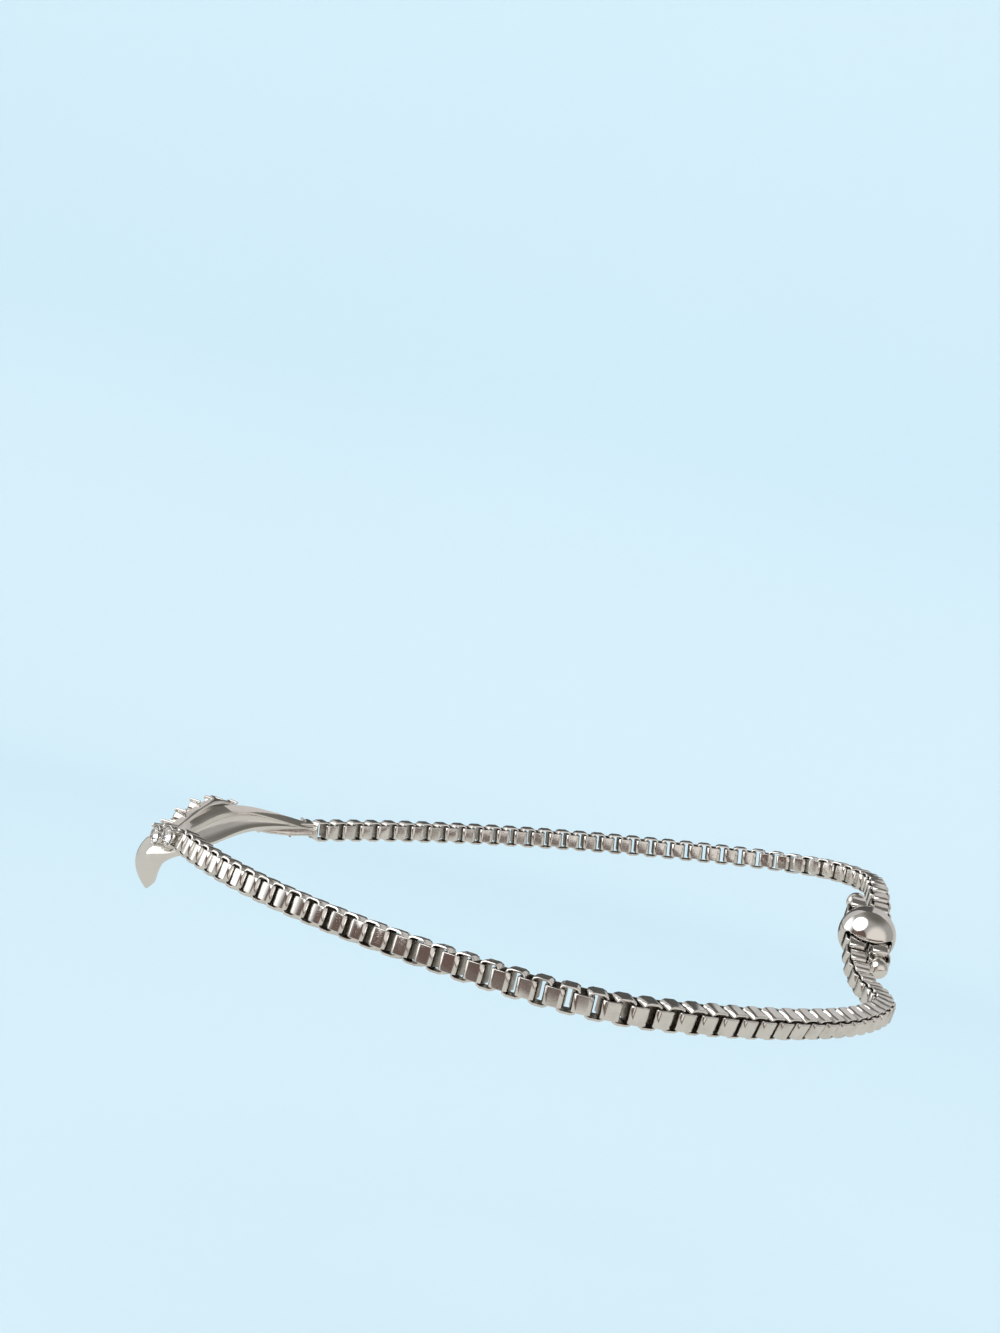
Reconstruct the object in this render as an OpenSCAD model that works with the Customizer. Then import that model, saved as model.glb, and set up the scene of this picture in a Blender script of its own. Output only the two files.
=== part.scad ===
// Slider bracelet of box chain with a stone-set front piece, in the round form that it has when worn.
// The loop lies in the XY plane around +Z, the wrist's axis, and the front piece is on the -X side.
// The two strands start at the front piece, meet side by side in the slider ball and end in stoppers.

/* [Chain] */
// Distance between the centres of two neighbouring links
link_pitch = 1.0; // [0.98:0.01:1.04]
// Thickness of the flat strip that a link is folded from
strip_thickness = 0.18; // [0.14:0.01:0.2]
// Width of that strip
strip_width = 1.4; // [1.2:0.05:1.45]
// Outer size of a link across the chain
link_height = 2.1; // [2:0.05:2.15]
// Free play between a link's end bar and its neighbour's, along the chain
link_play = 0.24; // [0.2:0.01:0.26]
// Outer radius of a link's folded corners
fold_radius = 0.42; // [0.3:0.02:0.5]

/* [Slider] */
// Diameter of the slider ball
slider_diameter = 5.5; // [5.4:0.1:6.5]
// Width of the slot that both strands run through
slot_width = 4.6; // [4.5:0.05:4.8]
// Height of the slot
slot_height = 2.4; // [2.3:0.05:2.6]
// Distance from the slider's axis to the middle of each strand
strand_offset = 1.12; // [1.1:0.01:1.18]
// Diameter of the stopper ball at the end of each strand
stopper_diameter = 2.0; // [1.8:0.1:2.2]
// Distance from the slider's middle to the middle of a stopper
tail_length = 4.42; // [4.2:0.05:8]
// Climb of the strands where they run through the slider, in degrees
slider_rise = 32; // [20:1:34]

/* [Front piece] */
// Radius of the arc that the front piece follows
arc_radius = 17; // [16.8:0.1:17.4]
// Length along that arc
arc_length = 33.2; // [33:0.1:34]
// Thickness of the polished ribbon
plain_wall = 0.8; // [0.6:0.05:1]
// Crown of the polished ribbon across its widest part
plain_crown = 1.3; // [0.9:0.1:1.4]
// Thickness of the stone-set ribbon
setting_wall = 0.9; // [0.8:0.05:1]
// Crown of the stone-set ribbon
setting_crown = 0.12; // [0:0.02:0.2]

/* [Stones] */
// Diameter of a stone
stone_diameter = 1.56; // [1.4:0.02:1.6]
// Distance between neighbouring stones along the ribbon
stone_pitch = 2.05; // [2:0.05:2.1]
// Height of a stone's girdle above the ribbon
girdle_height = 0.72; // [0.7:0.02:0.8]
// Diameter of the prongs
prong_diameter = 0.3; // [0.24:0.02:0.34]

/* [Hidden] */
stone_count = 11;

// Lengths of the strands along which the tables below run
slide_at = 100.5;
slot_half = 2.6;
far_length = 83;
near_start = [-29.1, -8, 0];
link_length = link_pitch + 2*strip_thickness + link_play;
ball_seat = 0.92;
arc_seat = 0.6;
arc_heading = 134.4;
far_end_height = -0.4;

// Distance along the strand, heading in degrees
near_turns = [[0, -58], [42, -8], [50.5, 32], [72, 56], [82, 73], [90, 104], [92.5, 104], [98.5, 90]];
far_turns = [[0, 90], [14.5, 90], [34, 178], [83, 219.5]];
// Distance along the strand, climb in degrees
near_rises = [[0, 0], [slide_at - 12, 0], [slide_at - slot_half, slider_rise]];
far_rises = [[0, slider_rise], [5.5, slider_rise], [14.8, 0], [19, 0], [27, -7.6], [100, -7.6]];
// Distance along the strand, turn of the links around the strand's line in degrees
near_rolls = [[0, -14], [12, -11], [30, -10], [44, 3], [60, 17], [68, 24], [72, 24], [88, 0]];

// Distance along the arc, height of the middle, width, height of the face above the arc
plain_rows = [
    [-0.2, -0.8, 0.8, 0.5],
    [1.3, -1.7, 0.85, 0.8],
    [2.4, -1.95, 1.7, 1.2],
    [3.4, -2.4, 3.5, 1.6],
    [4.6, -3.1, 5.2, 1.9],
    [6.4, -3.5, 5.0, 2.0],
    [9, -3.5, 4.3, 2.0],
    [12, -3.3, 3.6, 1.9],
    [16, -3.0, 3.1, 1.6],
    [18.5, -2.5, 3.4, 1.4],
    [20.5, -1.85, 3.9, 1.4],
    [22.3, -1.3, 4.1, 1.4],
    [24.3, -0.8, 3.4, 1.3],
    [26.3, -0.45, 2.6, 1.2],
    [29, -0.35, 1.8, 1.0],
    [33.2, -0.4, 0.8, 0.6]
];
setting_rows = [
    [-0.2, 0.4, 1.5, 0.9],
    [2.4, -0.2, 1.5, 1.1],
    [4.4, -0.9, 1.5, 1.1],
    [7, -1.9, 1.5, 1.1],
    [10, -3.0, 1.5, 1.4],
    [12, -3.3, 1.5, 1.4],
    [14, -3.0, 1.5, 1.4],
    [16, -2.2, 1.5, 1.35],
    [18.5, -0.9, 1.5, 1.4],
    [20.4, 0.05, 1.5, 1.55],
    [21.8, 0.5, 1.5, 1.6],
    [23.2, 0.4, 1.5, 1.6],
    [25.5, -0.2, 1.5, 1.7],
    [28, -1.1, 1.5, 1.65],
    [31, -0.9, 1.5, 1.1],
    [33.2, -0.4, 1.5, 0.8]
];
station_step = 0.7;
outer_steps = [for (step = [-4:4]) step/4];
inner_steps = [for (step = [3:-1:-3]) step*0.31];
full_width = 5;

// The two stones before the polished ribbon's lobe, then the row behind it
lead_stone = 0.35;
row_start = 16.1;
lead_count = 2;
stone_stations = [for (number = [0:stone_count - 1])
    number < lead_count ? lead_stone + number*stone_pitch : row_start + (number - lead_count)*stone_pitch];

// Cut of a stone, measured from its girdle
girdle_half = 0.03;
crown_height = 0.3;
pavilion_depth = 0.62;
table_ratio = 0.56;
facet_count = 8;

// Collet and prongs, measured from the ribbon's face
collet_depth = 0.35;
collet_height = 0.62;
collet_foot = 1.3;
collet_mouth = 1.8;
pit_floor = 0.06;
pit_mouth = 1.46;
prong_circle = 0.98;
prong_height = 0.95;
tip_circle = 0.84;
tip_height = 1.0;
tip_diameter = 0.34;

function direction(turn, rise) = [cos(rise)*cos(turn), cos(rise)*sin(turn), sin(rise)];
function column(rows, place) = [for (row = rows) [row[0], row[place]]];

// Centres of the links of a strand, stepped along its headings and climbs
function march(start, turns, rises, count) = [
    for (i = 0, centre = start; i <= count;
         centre = centre + link_pitch*direction(lookup((i + 0.5)*link_pitch, turns),
                                                lookup((i + 0.5)*link_pitch, rises)),
         i = i + 1) centre
];
function between(run, at) = let(i = floor(at/link_pitch), part = at/link_pitch - i)
    run[i]*(1 - part) + run[i + 1]*part;
// A run whose last centre is brought to its goal, with the rest shared out evenly
function closed(run, goal) = let(last = len(run) - 1)
    [for (i = [0:last]) run[i] + (goal - run[last])*i/last];

near_last = round((slide_at + tail_length - ball_seat)/link_pitch);
near_run = march(near_start, near_turns, near_rises, near_last + 1);
slide_turn = lookup(slide_at, near_turns);
slide_axis = direction(slide_turn, slider_rise);
slide_side = [sin(slide_turn), -cos(slide_turn), 0];
slider_centre = between(near_run, slide_at) + strand_offset*slide_side;

arc_start = near_run[0] - arc_seat*direction(near_turns[0][1], 0);
arc_centre = arc_start + arc_radius*[sin(arc_heading), -cos(arc_heading), 0];
function arc_turn(along) = arc_heading - along/arc_radius*180/PI;
function on_arc(along, out, up) = let(turn = arc_turn(along))
    arc_centre - (arc_radius + out)*[sin(turn), -cos(turn), 0] + [0, 0, up];

far_last = round(far_length/link_pitch);
far_goal = on_arc(arc_length, 0, far_end_height) + arc_seat*direction(arc_turn(arc_length), 0);
far_stop = slider_centre + strand_offset*slide_side - tail_length*slide_axis;
far_run = closed(march(far_stop + ball_seat*slide_axis, far_turns, far_rises, far_last), far_goal);

// Value of a table's column, rounded over its corners
function eased(rows, place, at) = let(pairs = column(rows, place))
    (lookup(at - 1, pairs) + 2*lookup(at - 0.5, pairs) + 2*lookup(at, pairs)
     + 2*lookup(at + 0.5, pairs) + lookup(at + 1, pairs))/8;

// Closed outline of a ribbon across the arc: the crowned face, then the hollow back
function section(rows, crown, wall, at) =
    let(middle = eased(rows, 1, at), half = eased(rows, 2, at)/2, face = eased(rows, 3, at),
        bow = crown*min(2*half/full_width, 1))
    concat([for (q = outer_steps) on_arc(at, face - bow*q*q, middle + q*half)],
           [for (q = inner_steps) on_arc(at, face - bow*q*q - wall, middle + q*half)]);

module ribbon(rows, crown, wall) {
    first = rows[0][0];
    count = ceil((arc_length - first)/station_step);
    sections = [for (i = [0:count]) section(rows, crown, wall, first + (arc_length - first)*i/count)];
    around = len(sections[0]);
    sides = [for (i = [0:count - 1], j = [0:around - 1])
        let(next = (j + 1)%around, here = i*around, ahead = (i + 1)*around)
        each [[here + j, ahead + j, ahead + next], [here + j, ahead + next, here + next]]];
    polyhedron(points = [for (outline = sections) each outline],
               faces = concat([[for (j = [0:around - 1]) j]], sides,
                              [[for (j = [around - 1:-1:0]) count*around + j]]));
}

module rounded_plate(length, height, radius) {
    square([length - 2*radius, height], center = true);
    square([length, height - 2*radius], center = true);
    for (x = [-1, 1], y = [-1, 1])
        translate([x*(length/2 - radius), y*(height/2 - radius)]) circle(r = radius, $fn = 32);
}

// One folded link, along X. An upright link stands across a flat one.
module link(upright) {
    rotate([upright ? 90 : 0, 0, 0])
        linear_extrude(strip_width, center = true)
            difference() {
                rounded_plate(link_length, link_height, fold_radius);
                rounded_plate(link_length - 2*strip_thickness, link_height - 2*strip_thickness,
                              fold_radius - strip_thickness);
            }
}

module placed_link(run, turns, rises, i, upright, roll = 0) {
    translate(run[i])
        rotate([roll, -lookup(i*link_pitch, rises), lookup(i*link_pitch, turns)])
            link(upright);
}
module near_link(i) {
    placed_link(near_run, near_turns, near_rises, i, i%2 == 0, lookup(i*link_pitch, near_rolls));
}
module far_link(i) {
    placed_link(far_run, far_turns, far_rises, i, (far_last - i)%2 == 0);
}

module near_chain() {
    color("silver") for (i = [1:near_last - 1]) near_link(i);
}

module far_chain() {
    color("silver") for (i = [1:far_last - 1]) far_link(i);
}

// Puts its children in the slider's frame, with +X along the strands
module along_slider(centre) {
    translate(centre) rotate([0, -slider_rise, slide_turn]) children();
}

module slider_ball() {
    color("gainsboro")
        along_slider(slider_centre)
            difference() {
                rotate([0, 90, 0]) sphere(d = slider_diameter, $fn = 64);
                rotate([90, 0, 90])
                    linear_extrude(slider_diameter + 1, center = true)
                        rounded_plate(slot_width, slot_height, 0.6);
            }
}

module stopper_ball(centre) {
    along_slider(centre) rotate([0, 0, 45]) sphere(d = stopper_diameter, $fn = 48);
}

module near_stopper() {
    color("gainsboro") {
        stopper_ball(near_run[near_last] + ball_seat*slide_axis);
        near_link(near_last);
    }
}

module far_stopper() {
    color("gainsboro") {
        stopper_ball(far_stop);
        far_link(0);
    }
}

// Puts its child on the stone-set ribbon's face, with +Z outward
module at_stone(number) {
    at = stone_stations[number - 1];
    turn = arc_turn(at);
    slope = atan2(eased(setting_rows, 1, at + 0.5) - eased(setting_rows, 1, at - 0.5), 1);
    translate(on_arc(at, eased(setting_rows, 3, at), eased(setting_rows, 1, at)))
        rotate([0, 90, turn + 90])
            rotate([0, 0, slope])
                children();
}

module collet() {
    difference() {
        translate([0, 0, -collet_depth])
            cylinder(h = collet_depth + collet_height, d1 = collet_foot, d2 = collet_mouth, $fn = 32);
        translate([0, 0, pit_floor])
            cylinder(h = collet_height - pit_floor + 0.01, d1 = 0.04, d2 = pit_mouth, $fn = 32);
    }
}

module prongs() {
    for (angle = [45:90:315])
        rotate([0, 0, angle]) {
            translate([prong_circle, 0, 0]) cylinder(h = prong_height, d = prong_diameter, $fn = 16);
            translate([tip_circle, 0, tip_height]) sphere(d = tip_diameter, $fn = 16);
        }
}

module front_piece() {
    color("gainsboro") {
        ribbon(plain_rows, plain_crown, plain_wall);
        ribbon(setting_rows, setting_crown, setting_wall);
        near_link(0);
        far_link(far_last);
        for (number = [1:stone_count]) at_stone(number) {
            collet();
            prongs();
        }
    }
}

// A round cut: an eight-sided table, a crown, a sixteen-sided girdle and a pointed pavilion
module stone(number) {
    girdle_count = 2*facet_count;
    radius = stone_diameter/2;
    table_points = [for (i = [0:facet_count - 1]) let(a = (i + 0.5)*360/facet_count)
        [table_ratio*radius*cos(a), table_ratio*radius*sin(a), crown_height]];
    girdle_points = [for (z = [girdle_half, -girdle_half], i = [0:girdle_count - 1])
        let(a = i*360/girdle_count) [radius*cos(a), radius*sin(a), z]];
    culet = facet_count + 2*girdle_count;
    upper = function(i) facet_count + (i + girdle_count)%girdle_count;
    lower = function(i) upper(i) + girdle_count;
    crown_faces = [for (i = [0:facet_count - 1]) let(next = (i + 1)%facet_count, tip = 2*i + 1)
        each [[i, upper(tip), upper(tip - 1)], [i, upper(tip + 1), upper(tip)],
              [i, next, upper(tip + 1)]]];
    girdle_faces = [for (i = [0:girdle_count - 1])
        each [[upper(i), upper(i + 1), lower(i + 1)], [upper(i), lower(i + 1), lower(i)]]];
    pavilion_faces = [for (i = [0:girdle_count - 1]) [lower(i), lower(i + 1), culet]];
    color("white")
        at_stone(number) translate([0, 0, girdle_height])
            polyhedron(points = concat(table_points, girdle_points, [[0, 0, -pavilion_depth]]),
                       faces = concat([[for (i = [facet_count - 1:-1:0]) i]], crown_faces,
                                      girdle_faces, pavilion_faces));
}

near_chain();
far_chain();
slider_ball();
near_stopper();
far_stopper();
front_piece();
for (number = [1:stone_count])
    stone(number);
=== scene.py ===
"""Looks of a stone-set slider bracelet of box chain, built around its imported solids.

Sizes are in millimetres, because the links are about two millimetres high. Each finished
piece is scaled to metres just before it becomes an object.
"""

import logging
from abc import ABC, abstractmethod
from dataclasses import dataclass
from enum import Enum, IntEnum
from math import atan2, ceil, cos, floor, hypot, pi, radians, sin, sqrt
from typing import Iterable, Sequence

import bmesh
import bpy
import numpy as np
from mathutils import Matrix, Vector


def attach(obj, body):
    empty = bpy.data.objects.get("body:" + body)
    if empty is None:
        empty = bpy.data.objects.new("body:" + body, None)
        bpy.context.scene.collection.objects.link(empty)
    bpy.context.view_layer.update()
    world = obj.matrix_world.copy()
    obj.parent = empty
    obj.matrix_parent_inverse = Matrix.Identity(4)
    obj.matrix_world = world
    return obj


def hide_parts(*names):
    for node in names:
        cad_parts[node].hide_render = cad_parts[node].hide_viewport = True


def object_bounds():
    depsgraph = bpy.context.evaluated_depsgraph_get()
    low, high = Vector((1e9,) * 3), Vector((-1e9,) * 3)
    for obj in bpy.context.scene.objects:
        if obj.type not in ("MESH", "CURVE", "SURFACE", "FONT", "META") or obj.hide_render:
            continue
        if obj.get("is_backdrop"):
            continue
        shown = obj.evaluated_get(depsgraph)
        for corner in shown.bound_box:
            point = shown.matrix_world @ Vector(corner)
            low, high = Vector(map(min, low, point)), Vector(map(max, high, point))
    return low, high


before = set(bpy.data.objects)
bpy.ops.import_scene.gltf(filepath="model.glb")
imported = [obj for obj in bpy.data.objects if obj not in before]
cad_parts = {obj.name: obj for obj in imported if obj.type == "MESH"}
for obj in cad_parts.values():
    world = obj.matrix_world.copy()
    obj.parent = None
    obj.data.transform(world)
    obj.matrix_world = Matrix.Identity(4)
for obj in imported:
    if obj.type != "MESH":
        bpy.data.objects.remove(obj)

LOG = logging.getLogger("bracelet")
MM = 0.001
TINY = 1e-6
ROOT = "root"

Piece = bpy.types.Object
Socket = bpy.types.NodeSocket
Vert = bmesh.types.BMVert
Edge = bmesh.types.BMEdge
Rows = Sequence[Sequence[float]]
Colour = tuple[float, float, float]
Place = tuple[float, float, float]
Span = tuple[float, float]


class Slot(Enum):
    """Material slots of the record."""

    CHAIN = "chain_metal"
    POLISHED = "polished_metal"
    STONE = "stone"


class Stance(Enum):
    """How a link stands on the strand's line, as its turn around it in degrees."""

    FLAT = 0
    UPRIGHT = 90


def heading(turn: float, rise: float) -> Vector:
    """Gives the unit vector with a turn around +Z from +X and a climb, both in degrees."""
    t, r = radians(turn), radians(rise)
    return Vector((cos(r) * cos(t), cos(r) * sin(t), sin(r)))


def posed(centre: Vector, turn: float, rise: float, roll: float = 0.0) -> Matrix:
    """Gives the matrix that puts +X along a heading, rolled around it, all in degrees."""
    return (Matrix.Translation(centre) @ Matrix.Rotation(radians(turn), 4, "Z")
            @ Matrix.Rotation(-radians(rise), 4, "Y") @ Matrix.Rotation(radians(roll), 4, "X"))


def lookup(at: float, rows: Rows, column: int = 1) -> float:
    """Reads a column between the rows of a table, whose first column says where it is read."""
    return float(np.interp(at, [row[0] for row in rows], [row[column] for row in rows]))


# Finishes


class NodeWriter:
    """Adds and joins shader nodes in one tree."""

    def __init__(self, owner: bpy.types.ID) -> None:
        """Starts in a tree.

        Args:
            owner: A node group's tree, or a material or a world, whose tree is emptied.
        """
        self.tree = owner
        if not isinstance(owner, bpy.types.NodeTree):
            owner.use_nodes = True
            self.tree = owner.node_tree
            self.tree.nodes.clear()

    def add(self, kind: str, links: dict | None = None, **settings: object) -> bpy.types.Node:
        """Adds a node.

        Args:
            kind: Blender's name for the node's type.
            links: Input name or number to a value, or to the output socket that feeds it.
            **settings: Attributes set on the node.

        Returns:
            The node.
        """
        node = self.tree.nodes.new(kind)
        for name, value in settings.items():
            setattr(node, name, value)
        for name, value in (links or {}).items():
            socket = node.inputs[name]
            if isinstance(value, Socket):
                self.tree.links.new(value, socket)
            elif socket.type == "RGBA":
                socket.default_value = (*value, 1.0)
            else:
                socket.default_value = value
        return node

    def math(self, operation: str, first: object, second: object = 0.0) -> Socket:
        """Adds a Math node and gives its output."""
        return self.add("ShaderNodeMath", {0: first, 1: second}, operation=operation).outputs[0]

    def weighed(self, base: object, *terms: tuple[object, object]) -> Socket:
        """Adds Math nodes for a sum.

        Args:
            base: First part of the sum.
            *terms: Value and weight of each further part.

        Returns:
            The sum.
        """
        for value, weight in terms:
            base = self.math("ADD", base, self.math("MULTIPLY", value, weight))
        return base

    def blend(self, factor: object, first: object, second: object) -> Socket:
        """Adds a colour Mix node and gives its output."""
        links = {0: factor, 6: first, 7: second}
        return self.add("ShaderNodeMix", links, data_type="RGBA").outputs[2]

    def spread(self, value: object, span: Span, ends: Span = (0.0, 1.0)) -> Socket:
        """Adds a Map Range node that leads smoothly from one end to the other over a span."""
        links = dict(enumerate((value, *span, *ends)))
        return self.add("ShaderNodeMapRange", links, interpolation_type="SMOOTHSTEP").outputs[0]

    def noise(self, place: object, scale: object, detail: float = 2.0,
              roughness: float = 0.5) -> Socket:
        """Adds a Noise Texture node and gives its value."""
        links = {"Vector": place, "Scale": scale, "Detail": detail, "Roughness": roughness}
        return self.add("ShaderNodeTexNoise", links).outputs[0]


class PolishEffect:
    """Shader group of a polished plated surface: soft cloudiness, fine hairlines and wear."""

    NAME = "polished_plating"
    SOCKETS = (("INPUT", "NodeSocketColor", ("Tint", "Shade")),
               ("INPUT", "NodeSocketFloat", ("Cloud Scale", "Hairline Scale", "Roughness",
                                             "Wear", "Dent Scale", "Dent")),
               ("OUTPUT", "NodeSocketColor", ("Color",)),
               ("OUTPUT", "NodeSocketFloat", ("Roughness", "Height")))
    CLOUD_DETAIL = 3.0
    CLOUD_ROUGHNESS = 0.55
    DENT_DETAIL = 0.0
    HAIRLINE_DETAIL = 1.0
    HAIRLINE_STRETCH = (1.0, 1.0, 9.0)
    HAIRLINE_SPAN = (0.58, 0.72)
    HAIRLINE_ROUGHNESS = 0.03
    HAIRLINE_HEIGHT = 0.011
    GRAIN_HEIGHT = 0.025
    WORN_SPAN = (0.42, 0.74)
    WORN_SHADE = 0.35

    @classmethod
    def group(cls) -> bpy.types.NodeTree:
        """Builds the group the first time and gives the same one afterwards.

        Returns:
            The node group.
        """
        if cls.NAME in bpy.data.node_groups:
            return bpy.data.node_groups[cls.NAME]
        tree = bpy.data.node_groups.new(cls.NAME, "ShaderNodeTree")
        for side, kind, names in cls.SOCKETS:
            for name in names:
                tree.interface.new_socket(name, in_out=side, socket_type=kind)
        write = NodeWriter(tree)
        given = write.add("NodeGroupInput").outputs
        place = write.add("ShaderNodeTexCoord").outputs["Object"]
        cloud = write.noise(place, given["Cloud Scale"], cls.CLOUD_DETAIL, cls.CLOUD_ROUGHNESS)
        grain = write.noise(place, given["Hairline Scale"])
        dent = write.noise(place, given["Dent Scale"], cls.DENT_DETAIL)
        stretched = write.add("ShaderNodeMapping", {"Vector": place, "Scale": cls.HAIRLINE_STRETCH})
        hair = write.noise(stretched.outputs[0], given["Hairline Scale"], cls.HAIRLINE_DETAIL)
        hairline = write.spread(hair, cls.HAIRLINE_SPAN)
        worn = write.spread(cloud, cls.WORN_SPAN)
        colour = write.blend(write.math("MULTIPLY", worn, cls.WORN_SHADE),
                             given["Tint"], given["Shade"])
        rough = write.weighed(given["Roughness"], (worn, given["Wear"]),
                              (hairline, cls.HAIRLINE_ROUGHNESS))
        height = write.weighed(write.math("MULTIPLY", grain, cls.GRAIN_HEIGHT),
                               (hairline, cls.HAIRLINE_HEIGHT), (dent, given["Dent"]))
        write.add("NodeGroupOutput", {"Color": colour, "Roughness": rough, "Height": height})
        return tree


@dataclass(frozen=True)
class Finish(ABC):
    """Finish that one or more pieces carry, as a procedural material."""

    name: str

    @abstractmethod
    def surface(self, write: NodeWriter) -> bpy.types.Node:
        """Adds the finish's nodes with a writer, and gives the shader."""

    def material(self) -> bpy.types.Material:
        """Builds the material the first time and gives the same one afterwards.

        Returns:
            The material.
        """
        if self.name in bpy.data.materials:
            return bpy.data.materials[self.name]
        made = bpy.data.materials.new(self.name)
        write = NodeWriter(made)
        shader = self.surface(write)
        write.add("ShaderNodeOutputMaterial", {"Surface": shader.outputs[0]})
        return made


@dataclass(frozen=True)
class PlatedFinish(Finish):
    """White metal plating over polished brass."""

    tint: Colour = (0.91, 0.895, 0.87)
    shade: Colour = (0.52, 0.49, 0.45)
    roughness: float = 0.07
    wear: float = 0.08
    cloud_scale: float = 600.0
    hairline_scale: float = 3000.0
    dent_scale: float = 450.0
    dent: float = 1.0
    bump_height: float = 0.06 * MM

    def surface(self, write: NodeWriter) -> bpy.types.Node:
        """Adds the polished metal's nodes.

        Args:
            write: Writer of the material's nodes.

        Returns:
            The shader.
        """
        effect = write.add("ShaderNodeGroup", {
            "Tint": self.tint, "Shade": self.shade, "Cloud Scale": self.cloud_scale,
            "Hairline Scale": self.hairline_scale, "Roughness": self.roughness,
            "Wear": self.wear, "Dent Scale": self.dent_scale, "Dent": self.dent,
        }, node_tree=PolishEffect.group()).outputs
        bump = write.add("ShaderNodeBump", {"Strength": 1.0, "Distance": self.bump_height,
                                            "Height": effect["Height"]})
        return write.add("ShaderNodeBsdfPrincipled", {
            "Base Color": effect["Color"], "Metallic": 1.0,
            "Roughness": effect["Roughness"], "Normal": bump.outputs[0]})


@dataclass(frozen=True)
class CutStoneFinish(Finish):
    """Clear cut glass."""

    tint: Colour = (0.985, 0.992, 1.0)
    faint: float = 0.96
    refraction: float = 1.72
    mottle_scale: float = 900.0
    mottle_span: Span = (0.3, 0.8)
    roughness: Span = (0.005, 0.03)

    def surface(self, write: NodeWriter) -> bpy.types.Node:
        """Adds the glass's nodes with a writer, and gives the shader."""
        mottle = write.noise(write.add("ShaderNodeTexCoord").outputs["Object"], self.mottle_scale)
        return write.add("ShaderNodeBsdfPrincipled", {
            "Base Color": write.blend(mottle, [self.faint * part for part in self.tint], self.tint),
            "Roughness": write.spread(mottle, self.mottle_span, self.roughness),
            "Metallic": 0.0, "IOR": self.refraction, "Transmission Weight": 1.0})


@dataclass(frozen=True)
class PaperFinish(Finish):
    """Matt paper of the floor and the wall behind, cool to the eye and warm in reflections.

    The metal sees a painted shadow on a strip of the floor near the viewer and a painted shade over
    the middle of the wall, both dark and in reflections alone. Each span gives the places, in
    metres, between which one tone leads into the next.
    """

    tint: Colour = (0.680, 0.848, 0.945)
    shade: Colour = (0.668, 0.834, 0.932)
    mottle_scale: float = 6.0
    roughness: float = 0.9
    floor_bounce: Colour = (0.57, 0.545, 0.505)
    wall_bounce: Colour = (0.55, 0.52, 0.51)
    wall_rise: Span = (-0.03, 0.12)
    # Painted shade over the middle of the wall, seen in reflections alone.
    middle_painted_shade: Colour = (0.080, 0.075, 0.071)
    middle_at: float = -0.040
    middle_edge: Span = (0.136, 0.155)
    middle_depth: Span = (0.20, 0.32)
    # Painted shadow on the floor near the viewer, seen in reflections alone.
    near_painted_shadow: Colour = (0.132, 0.093, 0.080)
    near_depth: Span = (-0.195, -0.140)

    def surface(self, write: NodeWriter) -> bpy.types.Node:
        """Adds the paper's nodes.

        Args:
            write: Writer of the material's nodes.

        Returns:
            The shader.
        """
        place = write.add("ShaderNodeTexCoord").outputs["Object"]
        across, depth, height = write.add("ShaderNodeSeparateXYZ", {0: place}).outputs
        bounced = write.blend(write.spread(height, self.wall_rise),
                              self.floor_bounce, self.wall_bounce)
        # Painted shade: the wall's middle darker, in reflections alone.
        offset = write.math("ABSOLUTE", write.math("SUBTRACT", across, self.middle_at))
        middle = write.math("MULTIPLY", write.spread(offset, self.middle_edge, (1.0, 0.0)),
                            write.spread(depth, self.middle_depth))
        bounced = write.blend(middle, bounced, self.middle_painted_shade)
        # Painted shadow: the floor darker towards the viewer, in reflections alone.
        near_shadow = write.spread(depth, self.near_depth, (1.0, 0.0))
        bounced = write.blend(near_shadow, bounced, self.near_painted_shadow)
        seen = write.blend(write.noise(place, self.mottle_scale), self.tint, self.shade)
        path = write.add("ShaderNodeLightPath").outputs
        direct = write.math("ADD", path["Is Camera Ray"], path["Is Diffuse Ray"])
        return write.add("ShaderNodeBsdfPrincipled", {
            "Base Color": write.blend(direct, bounced, seen), "Roughness": self.roughness})


CHAIN_FINISH = PlatedFinish("chain_plating", roughness=0.09, wear=0.10, cloud_scale=520.0,
                            dent=1.2)
# Painted shade: the links' inner walls and ends get a darker tint for the shade inside the chain,
# and a rougher plating.
CHAIN_HOLLOW_SHADE = PlatedFinish("chain_hollow_shade", tint=(0.43, 0.40, 0.365), shade=(0.19, 0.172, 0.155),
                            roughness=0.24, wear=0.20, cloud_scale=900.0)
MIRROR_FINISH = PlatedFinish("mirror_plating", tint=(0.93, 0.915, 0.89), roughness=0.045,
                             wear=0.05, cloud_scale=260.0, dent_scale=150.0, dent=0.5)
SETTING_FINISH = PlatedFinish("setting_plating", wear=0.12, cloud_scale=800.0)
FOIL_FINISH = PlatedFinish("stone_foil", tint=(0.97, 0.97, 0.975), shade=(0.84, 0.85, 0.88),
                           roughness=0.03, wear=0.03, cloud_scale=1500.0)
STONE_FINISH = CutStoneFinish("clear_stone")
PAPER_FINISH = PaperFinish("pale_paper")


# Meshes


def show(name: str, data: bpy.types.ID) -> Piece:
    """Puts a mesh, a light or a camera in the scene.

    Args:
        name: Name of the object.
        data: What the object shows.

    Returns:
        The object.
    """
    made = bpy.data.objects.new(name, data)
    bpy.context.scene.collection.objects.link(made)
    return made


def verts_in(geom: Iterable[object]) -> list[Vert]:
    """Picks the vertices out of an operator's result."""
    return [item for item in geom if isinstance(item, Vert)]


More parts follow.
